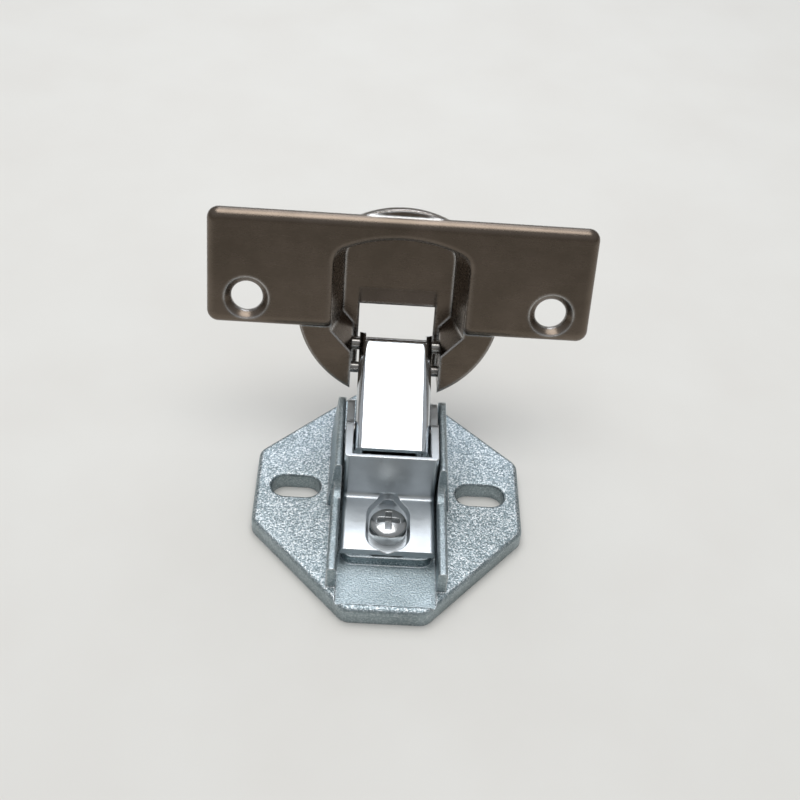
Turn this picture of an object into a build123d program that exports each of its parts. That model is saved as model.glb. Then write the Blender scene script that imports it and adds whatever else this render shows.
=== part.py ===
from build123d import *
import math
import os

# Concealed cup hinge for a cabinet door: 35 mm cup with two wings, cranked arm, shown
# about 17 degrees from closed. X runs across the hinge, +Y from the arm's screw towards
# the door, +Z up from the cabinet side. The origin is on the plate's underside, midway
# between its two slots.

# Play between a pin and the eye that turns on it, on the radius
pin_play = 0.04

# How far a cutter reaches past what it cuts, and how near two places count as the same
over = 1.0
same = 0.01

# Base plate, a casting with eight sides
plate_thickness = 3.2
plate_side_half_length = 8.2
plate_front_length = 26.3
plate_front_half_width = 6.7
plate_rear_length = 25.4
plate_rear_half_width = 5.6
plate_corner_radius = 2.6
plate_edge_radius = 0.9
slot_spacing = 32.0
slot_length = 8.4
slot_width = 4.9
slot_edge_radius = 0.5
slot_end_margin = 2.8

# Channel, fins, side walls and pad that carry the arm
channel_floor_z = 2.7
channel_end_margin = 1.3
channel_rear_play = 0.3
link_pit_play = 0.4
link_pit_front_y = 5.8
link_pit_floor_z = 1.4
fin_thickness = 1.55
fin_height = 4.5
fin_front_y = -21.8
wall_top_thickness = 1.2
wall_front_y = -4.4
wall_rear_y = 13.6
wall_height = 10.2
wall_draft_deg = 6.0
wall_rise_radius = 2.2
wall_end_radius = 2.4
wall_crown_radius = 0.55
root_z = 0.5
pad_height = 1.9
pad_front_y = -16.45
pad_rear_play = 0.3
pad_inset = 0.3
pad_corner_radius = 2.0
pad_recess_play = 0.1

# Folded steel arm
arm_sheet = 1.3
arm_half_width = 7.85
arm_guide_play = 0.3
foot_front_y = -15.95
riser_front_y = -4.0
riser_top_z = 15.3
cheek_toe_y = -3.0
cheek_step_y = 4.5
cheek_corner_radius = 1.4
nose_top_z = 13.4
nose_end_y = 13.1
nose_end_radius = 2.4
cheek_floor_play = 0.1
arm_bend_radius = 0.8
riser_bevel = 0.7
foot_bend_radius = 0.8
arm_travel = 1.0

# Keyhole dish pressed into the foot, and the clamp screw in it
dish_depth = 1.1
dish_slope = 0.4
dish_radius = 3.65
dish_front_y = -12.5
dish_rear_y = -8.2
dish_lobe_radius = 1.7
dish_lobe_y = -4.9
dish_bulge = 0.5
dish_play = 0.2
screw_y = -10.8
screw_shank_radius = 1.95
screw_tip_z = 0.5
screw_head_radius = 3.1
screw_head_height = 2.9
screw_head_rim = 1.9
screw_head_play = 0.03
screw_slot_play = 0.08
cross_width = 1.1
cross_length = 3.8
cross_depth = 1.5

# Cup, drawn with its own wings, and where it stands in the photographed pose
cup_lean_deg = 16.7
cup_face_y = 17.9
cup_face_z = 29.6
wing_end_margin = 6.8
wing_top = 15.35
wing_bottom = 4.9
wing_thickness = 1.8
wing_corner_radius = 2.0
wing_edge_radius = 1.6
wing_hole_spacing = 52.0
wing_hole_radius = 2.7
countersink_radius = 3.8
countersink_depth = 1.1
rim_radius = 17.5
rim_centre_drop = 0.85
rim_front = 1.5
rim_back = 3.0
rim_edge_radius = 0.3
cup_depth = 11.5
cup_wall = 1.2
pocket_half_width = 11.4
pocket_top = 11.6
pocket_shoulder = 8.7
pocket_corner_radius = 3.0
pocket_taper = 1.7
pocket_waist = 5.7
pocket_floor_waist = 5.4
throat_start = 9.6
throat_floor_start = 7.6
throat_play = 1.35
mouth_radius = 1.0
window_ledge = 1.0
window_top = 3.5
window_ramp_length = 2.7
window_ramp_rise = 0.7
cup_body_end = 16.4
body_inset = 0.2

# Links. Each pivot is given where the photographed pose has it, in Y and Z for the
# arm's pivots, and as drop below the wing holes and depth behind the face for the cup's.
outer_pivot_y = 6.1
outer_pivot_z = 11.3
inner_pivot_y = 10.0
inner_pivot_z = 5.45
cup_outer_drop = 10.44
cup_outer_depth = 7.73
cup_inner_drop = 14.6
cup_inner_depth = 6.48
outer_pin_radius = 1.2
inner_pin_radius = 1.0
open_pivot_play = 0.95
pin_chamfer = 0.2
rivet_stand = 0.3
rivet_round = 0.25
link_sheet = 1.1
link_side_play = 0.15
web_height = 5.0
web_overhang = 5.5
web_end_gap = 2.2
link_bend_radius = 1.7
flange_drop = 1.5
outer_eye_radius = 2.4
outer_ear_radius = 2.0
hook_clear_radius = 1.2
hook_roof = 3.3
ear_crown_back = 0.6
ear_crown_radius = 1.9
inner_link_side_play = 0.4
inner_strap_thickness = 1.8
inner_link_rise = 3.4
inner_eye_radius = 2.7
inner_cup_eye_radius = 1.7


def yz_outline(points, x_from, x_to):
    """A prism across X with the given outline in Y and Z."""
    sketch = Plane.YZ * make_face(Polyline(*points, close=True))
    return Pos(x_from, 0, 0) * extrude(sketch, amount=x_to - x_from)


def mirrored(solid):
    """A solid and its mirror image on the other side of the hinge."""
    return solid + mirror(solid, about=Plane.YZ)


def crossways_cylinder(radius, y, z, x_from, x_to):
    """A cylinder along X at the given place."""
    return Pos((x_from + x_to) / 2, y, z) * Rot(0, 90, 0) * Cylinder(radius, x_to - x_from)


# Places that several pieces share
channel_half_width = arm_half_width + arm_guide_play
pad_top_z = channel_floor_z + pad_height
foot_top_z = pad_top_z + arm_sheet
dish_floor_z = foot_top_z - dish_depth
cheek_inner = arm_half_width - arm_sheet
cheek_bottom_z = channel_floor_z + cheek_floor_play
outer_link_half_width = cheek_inner - link_side_play
inner_link_half_width = outer_link_half_width - link_sheet - inner_link_side_play
throat_half_width = outer_link_half_width + throat_play
window_half_width = throat_half_width - window_ledge
link_pit_half_width = inner_link_half_width + link_pit_play
wing_half_width = wing_hole_spacing / 2 + wing_end_margin
plate_half_width = (slot_spacing + slot_length) / 2 + slot_end_margin
channel_rear_y = nose_end_y + arm_travel + channel_rear_play
cup_frame = Plane(
    origin=(0, cup_face_y, cup_face_z),
    x_dir=(1, 0, 0),
    z_dir=(0, -math.cos(math.radians(cup_lean_deg)), math.sin(math.radians(cup_lean_deg))),
)
outer_pivot = Vector(0, outer_pivot_y, outer_pivot_z)
inner_pivot = Vector(0, inner_pivot_y, inner_pivot_z)
cup_outer_pivot = cup_frame.from_local_coords(Vector(0, -cup_outer_drop, -cup_outer_depth))
cup_inner_pivot = cup_frame.from_local_coords(Vector(0, -cup_inner_drop, -cup_inner_depth))


def keyhole(extra, z):
    """The egg-shaped outline of the dish, grown by extra, as a face at height z."""
    big = dish_radius + extra
    small = dish_lobe_radius + extra
    lean = math.asin((big - small) / (dish_lobe_y - dish_rear_y))
    side_x = big * math.cos(lean)
    side_y = dish_rear_y + big * math.sin(lean)
    lobe_x = small * math.cos(lean)
    lobe_side_y = dish_lobe_y + small * math.sin(lean)
    half = math.radians(45) + lean / 2
    near = (big * math.cos(lean / 2), dish_rear_y + big * math.sin(lean / 2))
    outline = Curve() + [
        ThreePointArc((-big, dish_front_y), (0, dish_front_y - big), (big, dish_front_y)),
        Line((big, dish_front_y), (big, dish_rear_y)),
        ThreePointArc((big, dish_rear_y), near, (side_x, side_y)),
        Line((side_x, side_y), (lobe_x, lobe_side_y)),
        ThreePointArc((lobe_x, lobe_side_y), (0, dish_lobe_y + small), (-lobe_x, lobe_side_y)),
        Line((-lobe_x, lobe_side_y), (-side_x, side_y)),
        ThreePointArc((-side_x, side_y), (-near[0], near[1]), (-big, dish_rear_y)),
        Line((-big, dish_rear_y), (-big, dish_front_y)),
    ]
    return Pos(0, 0, z) * make_face(outline)


def base_plate():
    """Eight-sided casting with slots, channel, fins, side walls and pad."""
    corners = [
        (plate_half_width, -plate_side_half_length),
        (plate_half_width, plate_side_half_length),
        (plate_rear_half_width, plate_rear_length),
        (-plate_rear_half_width, plate_rear_length),
        (-plate_half_width, plate_side_half_length),
        (-plate_half_width, -plate_side_half_length),
        (-plate_front_half_width, -plate_front_length),
        (plate_front_half_width, -plate_front_length),
    ]
    outline = make_face(Polyline(*corners, close=True))
    outline = fillet(outline.vertices(), plate_corner_radius)
    plate = extrude(outline, amount=plate_thickness)
    plate = fillet(plate.faces().sort_by(Axis.Z)[-1].edges(), plate_edge_radius)

    slot = extrude(SlotOverall(slot_length, slot_width), amount=plate_thickness)
    for side in (-1, 1):
        plate -= Pos(side * slot_spacing / 2, 0, 0) * slot
    slot_rims = plate.faces().filter_by(Plane.XY).sort_by(Axis.Z)[-1].inner_wires()
    plate = fillet([edge for wire in slot_rims for edge in wire.edges()], slot_edge_radius)

    channel_front = channel_end_margin - plate_front_length
    channel_length = channel_rear_y - channel_front
    plate -= Pos(0, channel_front + channel_length / 2, channel_floor_z) * Box(
        2 * channel_half_width, channel_length, plate_thickness,
        align=(Align.CENTER, Align.CENTER, Align.MIN),
    )
    link_pit_length = channel_rear_y - link_pit_front_y
    plate -= Pos(0, channel_rear_y - link_pit_length / 2, link_pit_floor_z) * Box(
        2 * link_pit_half_width, link_pit_length, plate_thickness,
        align=(Align.CENTER, Align.CENTER, Align.MIN),
    )
    plate += mirrored(side_wall())
    plate += pad()
    screw_hole = Cylinder(
        screw_shank_radius, pad_top_z,
        align=(Align.CENTER, Align.CENTER, Align.MIN),
    )
    return plate - Pos(0, screw_y, 0) * screw_hole


def side_wall():
    """One guide fin that rises into the taller wall beside the arm's cheek."""
    inner = channel_half_width
    fin_top = plate_thickness + fin_height
    wall_top = plate_thickness + wall_height
    foot_x = inner + wall_top_thickness + wall_height * math.tan(math.radians(wall_draft_deg))
    section = Plane.XZ * make_face(Polyline(
        (inner, root_z), (foot_x, root_z), (foot_x, plate_thickness),
        (inner + wall_top_thickness, wall_top), (inner, wall_top), close=True,
    ))
    wall_length = wall_rear_y - wall_front_y
    wall = Pos(0, wall_rear_y, 0) * extrude(section, amount=wall_length)
    crown = wall.edges().filter_by(Axis.Y).group_by(Axis.Z)[-1]
    wall = fillet(crown, wall_crown_radius)

    # The rear end of the wall is rounded off when seen from the side
    corner_y = wall_rear_y - wall_end_radius
    corner_z = wall_top - wall_end_radius
    corner = yz_outline([
        (corner_y, corner_z), (wall_rear_y + over, corner_z),
        (wall_rear_y + over, wall_top + over), (corner_y, wall_top + over),
    ], inner - over, foot_x + over)
    corner -= crossways_cylinder(
        wall_end_radius, corner_y, corner_z, inner - over, foot_x + over,
    )
    wall -= corner

    fin = Pos(inner + fin_thickness / 2, (fin_front_y + wall_front_y) / 2, root_z) * Box(
        fin_thickness, wall_front_y - fin_front_y, fin_top - root_z,
        align=(Align.CENTER, Align.CENTER, Align.MIN),
    )
    fin = fillet(fin.edges().filter_by(Axis.Y).group_by(Axis.Z)[-1], wall_crown_radius)

    # The fin's top curves up into the wall's front face
    rise = yz_outline([
        (wall_front_y - wall_rise_radius, fin_top - wall_crown_radius),
        (wall_front_y, fin_top - wall_crown_radius),
        (wall_front_y, fin_top + wall_rise_radius),
        (wall_front_y - wall_rise_radius, fin_top + wall_rise_radius),
    ], inner, inner + wall_top_thickness)
    rise -= crossways_cylinder(
        wall_rise_radius, wall_front_y - wall_rise_radius, fin_top + wall_rise_radius,
        inner - over, foot_x + over,
    )
    return wall + fin + rise


def pad():
    """The raised pad under the arm's foot, with a keyhole recess for the dish."""
    pad_rear_y = riser_front_y - pad_rear_play
    length = pad_rear_y - pad_front_y
    block = Pos(0, pad_front_y + length / 2, root_z) * Box(
        2 * (arm_half_width - pad_inset), length, pad_top_z - root_z,
        align=(Align.CENTER, Align.CENTER, Align.MIN),
    )
    uprights = block.edges().filter_by(Axis.Z).group_by(Axis.Y)[0]
    block = fillet(uprights, pad_corner_radius)
    recess_z = dish_floor_z - arm_sheet - dish_play
    grown = keyhole(dish_bulge + dish_play, recess_z)
    recess = extrude(grown, amount=pad_top_z, dir=(0, 0, 1))
    recess += Pos(0, arm_travel, 0) * recess
    front_wall = Pos(0, foot_front_y - pad_recess_play, 0) * Box(
        4 * dish_radius, dish_radius, 2 * pad_top_z,
        align=(Align.CENTER, Align.MAX, Align.MIN),
    )
    return block - (recess - front_wall)


def arm():
    """Folded sheet: foot with a pressed keyhole dish, riser, and two cheeks."""
    riser_rear_y = riser_front_y + arm_sheet
    foot = Pos(0, (foot_front_y + riser_rear_y) / 2, pad_top_z) * Box(
        2 * arm_half_width, riser_rear_y - foot_front_y, arm_sheet,
        align=(Align.CENTER, Align.CENTER, Align.MIN),
    )
    riser = Pos(0, riser_front_y + arm_sheet / 2, pad_top_z) * Box(
        2 * arm_half_width, arm_sheet, riser_top_z - pad_top_z,
        align=(Align.CENTER, Align.CENTER, Align.MIN),
    )
    sheet = foot + riser + mirrored(cheek())
    inside_bend = sheet.edges().filter_by(Axis.X).sort_by_distance(
        (0, riser_front_y, foot_top_z)
    )[0]
    sheet = fillet(inside_bend, foot_bend_radius)
    corners = [
        edge for edge in sheet.edges().filter_by(Axis.Z)
        if abs(edge.center().Y - riser_front_y) < same and edge.center().Z > nose_top_z / 2
    ]
    sheet = fillet(corners, arm_bend_radius)
    bevelled = sheet.edges().filter_by(Axis.X).sort_by_distance(
        (0, riser_rear_y, riser_top_z)
    )[0]
    sheet = chamfer(bevelled, riser_bevel)

    under = loft([
        keyhole(dish_bulge, pad_top_z),
        keyhole(dish_bulge - dish_slope, dish_floor_z - arm_sheet),
    ])
    hollow = loft([keyhole(0, foot_top_z), keyhole(-dish_slope, dish_floor_z)])
    hollow += extrude(keyhole(0, foot_top_z), amount=foot_bend_radius, dir=(0, 0, 1))
    front_trim = Pos(0, foot_front_y, 0) * Box(
        4 * dish_radius, dish_radius, foot_top_z * 2,
        align=(Align.CENTER, Align.MAX, Align.CENTER),
    )
    sheet = sheet + (under - front_trim) - hollow
    slot = SlotOverall(
        2 * (screw_shank_radius + screw_slot_play) + arm_travel,
        2 * (screw_shank_radius + screw_slot_play),
        rotation=90,
    )
    slot = Pos(0, screw_y - arm_travel / 2, dish_floor_z - 2 * arm_sheet) * slot
    sheet -= extrude(slot, amount=3 * arm_sheet, dir=(0, 0, 1))
    for pivot, radius in ((outer_pivot, outer_pin_radius), (inner_pivot, inner_pin_radius)):
        sheet -= crossways_cylinder(
            radius, pivot.Y, pivot.Z, -arm_half_width, arm_half_width,
        )
    return sheet


def cheek():
    """One cheek of the arm, bent back from the riser, with a lower nose towards the cup."""
    outline = Polyline(
        (riser_front_y, pad_top_z),
        (cheek_toe_y, pad_top_z),
        (cheek_toe_y, cheek_bottom_z),
        (nose_end_y, cheek_bottom_z),
        (nose_end_y, nose_top_z),
        (cheek_step_y + cheek_corner_radius, nose_top_z),
        (cheek_step_y, riser_top_z),
        (riser_front_y, riser_top_z),
        close=True,
    )
    face = make_face(outline)
    nose_corner = face.vertices().sort_by_distance((nose_end_y, nose_top_z))[0]
    face = fillet(nose_corner, nose_end_radius)
    step_corner = face.vertices().sort_by_distance((cheek_step_y, riser_top_z))[0]
    face = fillet(step_corner, cheek_corner_radius)
    return Pos(cheek_inner, 0, 0) * extrude(Plane.YZ * face, amount=arm_sheet)


def clamp_screw():
    """Domed screw with a cross recess; its fine thread is left plain."""
    head_z = dish_floor_z + screw_head_play
    dome = screw_head_height - screw_head_rim
    shank_length = head_z - screw_tip_z
    profile = Curve() + [
        Line((0, -shank_length), (screw_shank_radius, -shank_length)),
        Line((screw_shank_radius, -shank_length), (screw_shank_radius, 0)),
        Line((screw_shank_radius, 0), (screw_head_radius, 0)),
        Line((screw_head_radius, 0), (screw_head_radius, screw_head_rim)),
        EllipticalCenterArc(
            (0, screw_head_rim), screw_head_radius, dome, start_angle=0, arc_size=90,
        ),
        Line((0, screw_head_height), (0, -shank_length)),
    ]
    body = revolve(Plane.XZ * make_face(profile), Axis.Z)
    tool = Box(cross_length, cross_width, 2 * cross_depth)
    tool += Box(cross_width, cross_length, 2 * cross_depth)
    body -= Pos(0, 0, screw_head_height) * tool
    return Pos(0, screw_y, head_z) * body


def pocket_outline(grow, taper, waist, start, end, depth):
    """The arch-shaped outline of the pocket as a face at the given depth behind the wings."""
    half = pocket_half_width + grow - taper
    top = pocket_top + grow - taper
    shoulder = pocket_shoulder + grow - taper
    throat = throat_half_width + grow
    arch = ThreePointArc((half, shoulder), (0, top), (-half, shoulder))
    outline = Curve() + [
        arch,
        Line((-half, shoulder), (-half, -waist)),
        Line((-half, -waist), (-throat, -start)),
        Line((-throat, -start), (-throat, -end)),
        Line((-throat, -end), (throat, -end)),
        Line((throat, -end), (throat, -start)),
        Line((throat, -start), (half, -waist)),
        Line((half, -waist), (half, shoulder)),
    ]
    face = make_face(outline)
    tops = face.vertices().group_by(Axis.Y)[-1]
    face = fillet(tops, pocket_corner_radius)
    return Pos(0, 0, -depth) * face


def pocket_mouth(grow, end, depth):
    """The pocket's outline at its mouth."""
    return pocket_outline(grow, 0, pocket_waist, throat_start, end, depth)


def pocket_floor(grow, end, depth):
    """The pocket's outline at its floor, drawn in all round."""
    return pocket_outline(
        grow, pocket_taper, pocket_floor_waist, throat_floor_start, end, depth,
    )


def cup():
    """Drawn cup with its wings, round rim, tapered pocket, throat and floor window."""
    wings_height = wing_top + wing_bottom
    wings = Pos(0, (wing_top - wing_bottom) / 2, -wing_thickness) * Box(
        2 * wing_half_width, wings_height, wing_thickness,
        align=(Align.CENTER, Align.CENTER, Align.MIN),
    )
    wings = fillet(wings.edges().filter_by(Axis.Z), wing_corner_radius)
    mouth = extrude(
        pocket_mouth(0, 2 * rim_radius, wing_thickness), amount=wing_thickness, dir=(0, 0, 1),
    )
    outside = wings.faces().sort_by(Axis.Z)[-1].edges()
    wings = fillet(outside, wing_edge_radius) - mouth
    mouth_edge = [
        edge for edge in wings.faces().sort_by(Axis.Z)[-1].edges()
        if abs(edge.center().X) < pocket_half_width + same
        and edge.center().Y < pocket_top + same
    ]
    wings = fillet(mouth_edge, mouth_radius)

    rim = Pos(0, -rim_centre_drop, -rim_back) * Cylinder(
        rim_radius, rim_back - rim_front,
        align=(Align.CENTER, Align.CENTER, Align.MIN),
    )
    rim = fillet(rim.edges().group_by(Axis.Z)[-1], rim_edge_radius)
    body = loft([
        pocket_mouth(cup_wall, cup_body_end, wing_thickness),
        pocket_floor(cup_wall, cup_body_end, cup_depth),
    ], ruled=True)
    body &= Pos(0, -rim_centre_drop, 0) * Cylinder(rim_radius - body_inset, 3 * cup_depth)
    hollow = loft([
        pocket_mouth(0, 2 * rim_radius, wing_thickness),
        pocket_floor(0, 2 * rim_radius, cup_depth - cup_wall),
    ], ruled=True)
    ramp = Plane.YZ * make_face(Polyline(
        (window_ramp_length - window_top, cup_wall - cup_depth),
        (-window_top, window_ramp_rise + cup_wall - cup_depth),
        (-window_top, -cup_depth),
        (window_ramp_length - window_top, -cup_depth),
        close=True,
    ))
    ramp = Pos(-window_half_width, 0, 0) * extrude(ramp, amount=2 * window_half_width)
    solid = wings + (rim - mouth) + body - hollow + ramp

    window = Pos(0, -window_top, -cup_depth) * Box(
        2 * window_half_width, 2 * rim_radius, 3 * cup_wall,
        align=(Align.CENTER, Align.MAX, Align.CENTER),
    )
    solid -= window

    for side in (-1, 1):
        hole_x = side * wing_hole_spacing / 2
        solid -= Pos(hole_x, 0, -wing_thickness / 2) * Cylinder(wing_hole_radius, 2 * wing_thickness)
        sink = Cone(
            wing_hole_radius, countersink_radius, countersink_depth,
            align=(Align.CENTER, Align.CENTER, Align.MAX),
        )
        solid -= Pos(hole_x, 0, 0) * sink
    for drop, depth, radius in (
        (cup_outer_drop, cup_outer_depth, outer_pin_radius),
        (cup_inner_drop, cup_inner_depth, inner_pin_radius),
    ):
        solid -= Pos(0, -drop, -depth) * Rot(0, 90, 0) * Cylinder(
            radius, 3 * throat_half_width,
        )
    return cup_frame.location * solid


def link_frame(start, end):
    """A frame at a link's first pivot: local X along the link, Y upwards, Z across the hinge."""
    return Plane(origin=start, x_dir=(end - start).normalized(), z_dir=(1, 0, 0))


def outer_link():
    """Folded channel: web on top, round eyes at the arm, ears that hook over the cup's pins."""
    length = (cup_outer_pivot - outer_pivot).length
    swing = (cup_inner_pivot - cup_outer_pivot).length
    web_start = -web_overhang
    web_end = length - web_end_gap
    ear_end = length + outer_ear_radius
    inner_half = outer_link_half_width - link_sheet
    below = outer_ear_radius + web_height

    block = Pos(web_start, web_height, 0) * Box(
        ear_end - web_start, below, 2 * outer_link_half_width,
        align=(Align.MIN, Align.MAX, Align.CENTER),
    )
    folds = block.edges().filter_by(Axis.X).group_by(Axis.Y)[-1]
    block = fillet(folds, link_bend_radius)
    cavity = Pos(web_start, web_height - link_sheet, 0) * Box(
        ear_end - web_start, below, 2 * inner_half,
        align=(Align.MIN, Align.MAX, Align.CENTER),
    )
    roof_gap = Pos(web_end, 0, 0) * Box(
        ear_end, 3 * web_height, 2 * inner_half,
        align=(Align.MIN, Align.CENTER, Align.CENTER),
    )
    channel = block - cavity - roof_gap

    hook_reach = swing + hook_clear_radius
    flange = Pos(web_start, web_height) * Rectangle(
        length - hook_reach - web_start, web_height + flange_drop, align=(Align.MIN, Align.MAX),
    )
    crown_u = length - ear_crown_back
    bridge = Pos(crown_u, web_height) * Rectangle(
        crown_u, web_height - hook_roof, align=(Align.MAX, Align.MAX),
    )
    touch = math.atan2(web_height, -ear_crown_back) - math.acos(
        outer_ear_radius / math.hypot(web_height, ear_crown_back)
    )
    neck = make_face(Polyline(
        (length - outer_ear_radius, 0),
        (length - outer_ear_radius, web_height),
        (crown_u, web_height),
        (length + outer_ear_radius * math.cos(touch), outer_ear_radius * math.sin(touch)),
        (length, 0),
        close=True,
    ))
    side = flange + bridge + neck + Circle(outer_eye_radius)
    side += Pos(length, 0) * Circle(outer_ear_radius)
    side = side.face()
    crown = side.vertices().sort_by_distance((crown_u, web_height))[0]
    side = fillet(crown, ear_crown_radius)
    side -= Circle(outer_pin_radius + pin_play)
    side -= Pos(length, 0) * Circle(outer_pin_radius + pin_play)
    outline = extrude(side, amount=outer_link_half_width, both=True)
    return link_frame(outer_pivot, cup_outer_pivot).location * (channel & outline)


def inner_link():
    """Bowed strap that clears the edge of the door's bore; its eye at the arm is roomy."""
    length = (cup_inner_pivot - inner_pivot).length
    bow_radius = (length ** 2 / 4 + inner_link_rise ** 2) / (2 * inner_link_rise)
    bow = Circle(bow_radius + inner_strap_thickness / 2)
    bow -= Circle(bow_radius - inner_strap_thickness / 2)
    above = Pos(length / 2, 0) * Rectangle(
        4 * bow_radius, 4 * bow_radius, align=(Align.CENTER, Align.MIN),
    )
    strap = (Pos(length / 2, inner_link_rise - bow_radius) * bow) & above
    face = strap + Circle(inner_eye_radius) + Pos(length, 0) * Circle(inner_cup_eye_radius)
    face -= Circle(inner_pin_radius + open_pivot_play)
    face -= Pos(length, 0) * Circle(inner_pin_radius + pin_play)
    solid = extrude(face, amount=inner_link_half_width, both=True)
    return link_frame(inner_pivot, cup_inner_pivot).location * solid


def flush_pin(pivot, radius):
    """A plain pin that ends level with the outsides of the arm's cheeks."""
    pin = crossways_cylinder(radius, pivot.Y, pivot.Z, -arm_half_width, arm_half_width)
    return chamfer(pin.edges().filter_by(GeomType.CIRCLE), pin_chamfer)


def cup_pin(pivot, radius):
    """A pin whose rounded ends stand just proud of the throat walls, inside the bore."""
    end = throat_half_width + cup_wall + rivet_stand
    pin = crossways_cylinder(radius, pivot.Y, pivot.Z, -end, end)
    return fillet(pin.edges().filter_by(GeomType.CIRCLE), rivet_round)


parts = {
    "base_plate": base_plate(),
    "clamp_screw": clamp_screw(),
    "arm": arm(),
    "outer_link": outer_link(),
    "inner_link": inner_link(),
    "cup": cup(),
    "arm_outer_pin": flush_pin(outer_pivot, outer_pin_radius),
    "arm_inner_pin": flush_pin(inner_pivot, inner_pin_radius),
    "cup_outer_pin": cup_pin(cup_outer_pivot, outer_pin_radius),
    "cup_inner_pin": cup_pin(cup_inner_pivot, inner_pin_radius),
}
os.makedirs("parts", exist_ok=True)
for name, solid in parts.items():
    export_step(solid, f"parts/{name}.step")
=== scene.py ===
"""Cabinet hinge on a pale floor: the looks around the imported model.

Lengths are in metres, and sizes of a pattern or an edge in millimetres.
X runs across the hinge, +Y from the clamp screw towards the cup, +Z up.
"""

import math

import bpy
from mathutils import Matrix, Vector

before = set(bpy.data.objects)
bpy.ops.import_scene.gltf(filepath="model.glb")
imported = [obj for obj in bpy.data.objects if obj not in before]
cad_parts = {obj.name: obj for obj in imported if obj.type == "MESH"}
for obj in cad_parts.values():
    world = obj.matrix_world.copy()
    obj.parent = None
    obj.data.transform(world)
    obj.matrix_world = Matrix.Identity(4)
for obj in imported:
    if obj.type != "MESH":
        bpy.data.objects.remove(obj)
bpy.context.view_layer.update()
scene = bpy.context.scene
MM = 0.001

# Marks that plating and handling leave, in millimetres, and an edge tone that is partly a
# painted highlight
PATCH_SIZE = 7.0
SMEAR_SIZE = 6.0
SMEAR_STRETCH = (1.0, 5.0, 5.0)
SMEAR_TURN = (0.0, 0.3, 0.5)
# How far the softened surface turns away from the true one at an edge, as a cosine
EDGE_STARTS = 0.995
EDGE_FULL = 0.90
# Edges are lightened to this tone: partly polish from wear, partly a painted highlight
WEAR_AND_HIGHLIGHT_TONE = "f1f3f4"
WORN_GLOSS = 0.6
# Tones in the grains, and how much of them is left off the flat top
DARK_GRAIN = "4c575b"
LIGHT_GRAIN = "ffffff"
GRAIN_LEFT = 0.35
GRAIN_FADE_BELOW = 0.2
GRAIN_FADE_ABOVE = 0.5

# Room
FLOOR_SIZE = 12.0
FLOOR_PATCH = 25.0
SKY_LOW = 0.12
SKY_HIGH = 0.55
SKY_STRENGTH = 0.7
HINGE_MIDDLE = Vector((0, 0, 0.02))

# Viewpoint, in radians and metres, with the lens and film in millimetres
PITCH = 0.74853
YAW = 0.05196
ROLL = 0.09189
VIEWPOINT = Vector((-0.006896, -0.144576, 0.159191))
LENS = 54.87
FILM_WIDTH = 36.0


def linear(code):
    """An sRGB colour written as hex digits, as linear red, green, blue and alpha."""
    parts = [int(code[i:i + 2], 16) / 255 for i in (0, 2, 4)]
    curved = [p / 12.92 if p <= 0.04045 else ((p + 0.055) / 1.055) ** 2.4 for p in parts]
    return (*curved, 1.0)


def add(tree, kind, inputs=None, **settings):
    """Adds a node. inputs gives each socket a value or another node's output."""
    made = tree.nodes.new(kind)
    for name, value in settings.items():
        setattr(made, name, value)
    for name, value in (inputs or {}).items():
        if isinstance(value, bpy.types.NodeSocket):
            tree.links.new(value, made.inputs[name])
        else:
            made.inputs[name].default_value = value
    return made


def empty_material(name):
    """A material with no nodes, and its node tree."""
    material = bpy.data.materials.new(name)
    material.use_nodes = True
    material.node_tree.nodes.clear()
    return material, material.node_tree


def grain_strength(tree, place, speckle, layer):
    """speckle between the two heights of layer, fading to a share of it above and below."""
    height = add(tree, "ShaderNodeSeparateXYZ", {0: place}).outputs[2]
    bottom, top = layer
    from_below = add(tree, "ShaderNodeMapRange", {
        0: height, 1: (bottom - GRAIN_FADE_BELOW) * MM, 2: bottom * MM, 3: GRAIN_LEFT, 4: 1.0,
    }).outputs[0]
    from_above = add(tree, "ShaderNodeMapRange", {
        0: height, 1: top * MM, 2: (top + GRAIN_FADE_ABOVE) * MM, 3: 1.0, 4: GRAIN_LEFT,
    }).outputs[0]
    share = add(tree, "ShaderNodeMath", {
        0: from_below, 1: from_above,
    }, operation="MULTIPLY").outputs[0]
    return add(tree, "ShaderNodeMath", {0: share, 1: speckle}, operation="MULTIPLY").outputs[0]


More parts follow.
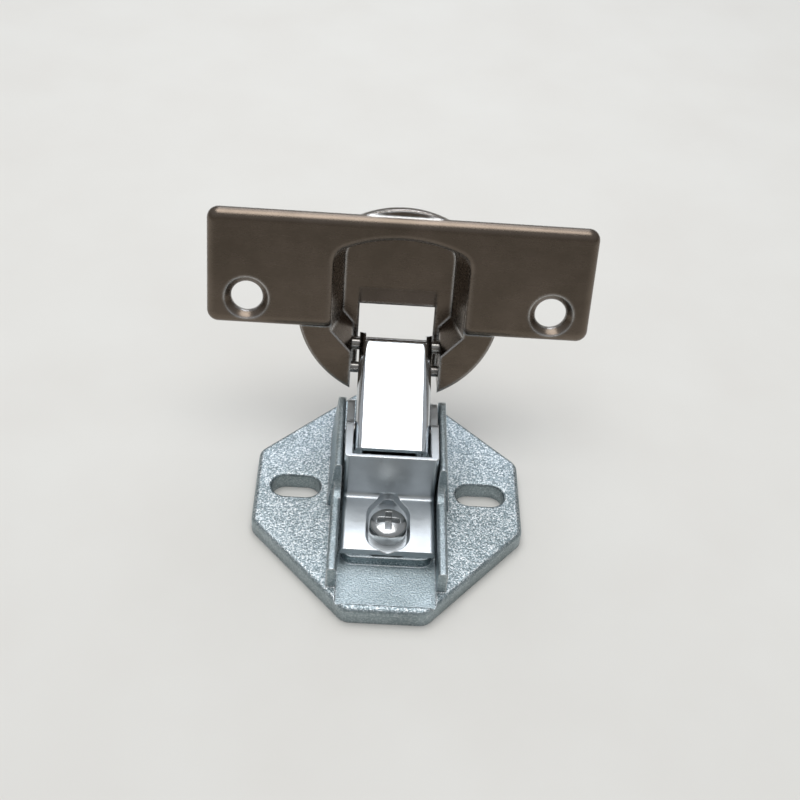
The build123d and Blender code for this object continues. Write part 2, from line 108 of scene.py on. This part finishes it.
def plated(name, colour, tint, gloss, spread, grain, depth, edge, wear_and_highlight_amount, speckle=0.0, layer=None):
    """Nickel plate over steel or a casting.

    colour and tint are the plate's two tones, gloss its roughness and spread how much that
    varies. grain is the size of its pits and depth their depth, both in millimetres. edge
    is the radius over which edges are found, and wear_and_highlight_amount how much they are
    polished and lightened, partly by wear and partly as a painted highlight. speckle
    is how strongly the grains differ in tone, and layer the heights in millimetres between
    which they do so fully.
    """
    material, tree = empty_material(name)
    place = add(tree, "ShaderNodeTexCoord").outputs["Object"]

    # Slow patches of tone, fine pits, and smears along the piece
    patches = add(tree, "ShaderNodeTexNoise", {
        "Vector": place, "Scale": 1 / (PATCH_SIZE * MM), "Detail": 5.0, "Roughness": 0.62,
    }).outputs[0]
    pits = add(tree, "ShaderNodeTexNoise", {
        "Vector": place, "Scale": 1 / (grain * MM), "Detail": 3.0, "Roughness": 0.6,
    }).outputs[0]
    stretched = add(tree, "ShaderNodeMapping", {
        "Vector": place, "Scale": SMEAR_STRETCH, "Rotation": SMEAR_TURN,
    }).outputs[0]
    smears = add(tree, "ShaderNodeTexNoise", {
        "Vector": stretched, "Scale": 1 / (SMEAR_SIZE * MM), "Detail": 6.0, "Roughness": 0.7,
    }).outputs[0]

    # Edges, found where the softened surface turns away from the true one
    true_normal = add(tree, "ShaderNodeNewGeometry").outputs["Normal"]
    soft_normal = add(tree, "ShaderNodeBevel", {"Radius": edge * MM}, samples=6).outputs[0]
    turn = add(tree, "ShaderNodeVectorMath", {
        0: soft_normal, 1: true_normal,
    }, operation="DOT_PRODUCT").outputs["Value"]
    # The edge mask: edges polished by wear, and lightened there as a painted highlight
    wear_and_highlight_mask = add(tree, "ShaderNodeMapRange", {
        0: turn, 1: EDGE_STARTS, 2: EDGE_FULL, 3: 0.0, 4: wear_and_highlight_amount,
    }).outputs[0]

    # Tone: patches, then dark and light grains, then the edges lightened, partly by wear and
    # partly as a painted highlight
    patchy = add(tree, "ShaderNodeMapRange", {0: patches, 1: 0.35, 2: 0.65}).outputs[0]
    tone = add(tree, "ShaderNodeMix", {
        0: patchy, 6: linear(colour), 7: linear(tint),
    }, data_type="RGBA").outputs[2]
    strength = grain_strength(tree, place, speckle, layer) if layer else speckle
    for faint, full, mark in ((0.50, 0.40, DARK_GRAIN), (0.52, 0.64, LIGHT_GRAIN)):
        marked = add(tree, "ShaderNodeMapRange", {0: pits, 1: faint, 2: full}).outputs[0]
        amount = add(tree, "ShaderNodeMath", {
            0: marked, 1: strength,
        }, operation="MULTIPLY").outputs[0]
        tone = add(tree, "ShaderNodeMix", {
            0: amount, 6: tone, 7: linear(mark),
        }, data_type="RGBA").outputs[2]
    # Edges lightened towards a near-white tone: partly wear, partly a painted highlight
    tone = add(tree, "ShaderNodeMix", {
        0: wear_and_highlight_mask, 6: tone, 7: linear(WEAR_AND_HIGHLIGHT_TONE),
    }, data_type="RGBA").outputs[2]

    # Roughness: smears, smoother at the worn edges
    smeared = add(tree, "ShaderNodeMapRange", {
        0: smears, 1: 0.3, 2: 0.7, 3: gloss - spread, 4: gloss + spread,
    }).outputs[0]
    rough = add(tree, "ShaderNodeMix", {0: wear_and_highlight_mask, 2: smeared, 3: gloss * WORN_GLOSS}).outputs[0]
    bump = add(tree, "ShaderNodeBump", {
        "Strength": 1.0, "Distance": depth * MM, "Height": pits, "Normal": soft_normal,
    }).outputs[0]
    shader = add(tree, "ShaderNodeBsdfPrincipled", {
        "Base Color": tone, "Metallic": 1.0, "Roughness": rough, "Normal": bump,
    })
    add(tree, "ShaderNodeOutputMaterial", {"Surface": shader.outputs[0]})
    return material


# Nickel plate over a sand-textured zinc casting: matt, blue-grey and finely speckled on
# the plate's flat top, 3.2 mm up
CAST = plated(
    "cast_nickel", colour="a9b6bb", tint="919ea2", gloss=0.36, spread=0.06,
    grain=0.30, depth=0.12, edge=0.35, wear_and_highlight_amount=0.6, speckle=0.62, layer=(3.1, 3.4),
)
# Bright nickel over folded steel: light and soft, with worn edges lightened white, partly as a
# painted highlight
BRIGHT = plated(
    "bright_nickel", colour="d6dbde", tint="c6cbce", gloss=0.34, spread=0.06,
    grain=0.3, depth=0.02, edge=0.25, wear_and_highlight_amount=0.7,
)
# The same plate over the screw's pressed head: smoother, with clearer reflections
SCREW = plated(
    "screw_nickel", colour="b4b6b6", tint="9fa1a1", gloss=0.20, spread=0.05,
    grain=0.3, depth=0.008, edge=0.20, wear_and_highlight_amount=0.6,
)
# Mirror nickel over polished steel: it shows the lamp above as plain white
MIRROR = plated(
    "polished_nickel", colour="d4d8dc", tint="c6cacd", gloss=0.09, spread=0.03,
    grain=0.8, depth=0.002, edge=0.20, wear_and_highlight_amount=0.5,
)
# Satin nickel over drawn steel: soft, with a dark, warm tone that is a painted reflection of a
# dark brown surface, and rounded edges lightened partly by wear and partly as a painted
# highlight
SATIN_PAINTED_REFLECTION = plated(
    # The dark brown colour is a painted reflection, not the plate's own colour
    "satin_nickel", colour="6f645a", tint="655b51", gloss=0.26, spread=0.05,
    grain=0.3, depth=0.004, edge=0.80, wear_and_highlight_amount=0.6,
)
# Nickel plate over turned steel pins: mid grey and slightly dull
RIVET = plated(
    "pin_steel", colour="a8a5a0", tint="8c8884", gloss=0.25, spread=0.08,
    grain=0.25, depth=0.01, edge=0.15, wear_and_highlight_amount=0.6,
)

for name, material in {
    "base_plate": CAST,
    "clamp_screw": SCREW,
    "arm": BRIGHT,
    "outer_link": MIRROR,
    "inner_link": SATIN_PAINTED_REFLECTION,
    "cup": SATIN_PAINTED_REFLECTION,
    "arm_outer_pin": RIVET,
    "arm_inner_pin": RIVET,
    "cup_outer_pin": RIVET,
    "cup_inner_pin": RIVET,
}.items():
    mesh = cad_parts[name].data
    mesh.materials.clear()
    mesh.materials.append(material)


def floor():
    """A pale, slightly uneven floor."""
    bpy.ops.mesh.primitive_plane_add(size=FLOOR_SIZE, location=(0, 0, 0))
    plane = bpy.context.object
    plane.name = "floor"
    material, tree = empty_material("floor_pale")
    place = add(tree, "ShaderNodeTexCoord").outputs["Object"]
    patches = add(tree, "ShaderNodeTexNoise", {
        "Vector": place, "Scale": 1 / (FLOOR_PATCH * MM), "Detail": 4.0,
    }).outputs[0]
    tone = add(tree, "ShaderNodeMix", {
        0: patches, 6: linear("d6d3cd"), 7: linear("deddd8"),
    }, data_type="RGBA").outputs[2]
    shader = add(tree, "ShaderNodeBsdfPrincipled", {
        "Base Color": tone, "Roughness": 0.6, "Specular IOR Level": 0.2,
    })
    add(tree, "ShaderNodeOutputMaterial", {"Surface": shader.outputs[0]})
    plane.data.materials.append(material)


def surroundings():
    """A pale ceiling over greyer walls. The sky's heights are sines of its elevation."""
    world = bpy.data.worlds.new("studio")
    world.use_nodes = True
    scene.world = world
    tree = world.node_tree
    tree.nodes.clear()
    place = add(tree, "ShaderNodeTexCoord").outputs["Generated"]
    height = add(tree, "ShaderNodeSeparateXYZ", {0: place}).outputs[2]
    ceiling = add(tree, "ShaderNodeMapRange", {0: height, 1: SKY_LOW, 2: SKY_HIGH}).outputs[0]
    tone = add(tree, "ShaderNodeMix", {
        0: ceiling, 6: linear("aeaaa4"), 7: linear("d5d8dc"),
    }, data_type="RGBA").outputs[2]
    light = add(tree, "ShaderNodeBackground", {0: tone, 1: SKY_STRENGTH}).outputs[0]
    add(tree, "ShaderNodeOutputWorld", {"Surface": light})


def lamp(name, place, size, power, colour):
    """A soft square lamp at place, aimed at the hinge."""
    data = bpy.data.lights.new(name, "AREA")
    data.size = size
    data.energy = power
    data.color = linear(colour)[:3]
    made = bpy.data.objects.new(name, data)
    made.location = place
    made.rotation_mode = "QUATERNION"
    made.rotation_quaternion = (HINGE_MIDDLE - Vector(place)).to_track_quat("-Z", "Y")
    scene.collection.objects.link(made)


def camera():
    """The photograph's own viewpoint, found by matching the hinge's known sizes."""
    ahead = Vector((
        math.sin(YAW) * math.cos(PITCH),
        math.cos(YAW) * math.cos(PITCH),
        -math.sin(PITCH),
    ))
    right = Vector((math.cos(YAW), -math.sin(YAW), 0))
    up = right.cross(ahead)
    turned_right = math.cos(ROLL) * right + math.sin(ROLL) * up
    turned_up = math.cos(ROLL) * up - math.sin(ROLL) * right
    data = bpy.data.cameras.new("camera")
    data.lens = LENS
    data.sensor_width = FILM_WIDTH
    data.clip_start = 0.01
    data.clip_end = 20.0
    made = bpy.data.objects.new("camera", data)
    axes = Matrix((turned_right, turned_up, -ahead)).transposed().to_4x4()
    made.matrix_world = Matrix.Translation(VIEWPOINT) @ axes
    scene.collection.objects.link(made)
    scene.camera = made


floor()
surroundings()
lamp("ceiling", place=(-0.03, 0.07, 0.55), size=0.40, power=1.9, colour="ffffff")
lamp("window", place=(0.0, 0.44, 0.44), size=0.32, power=0.8, colour="eef4ff")
camera()
scene.view_settings.view_transform = "Standard"
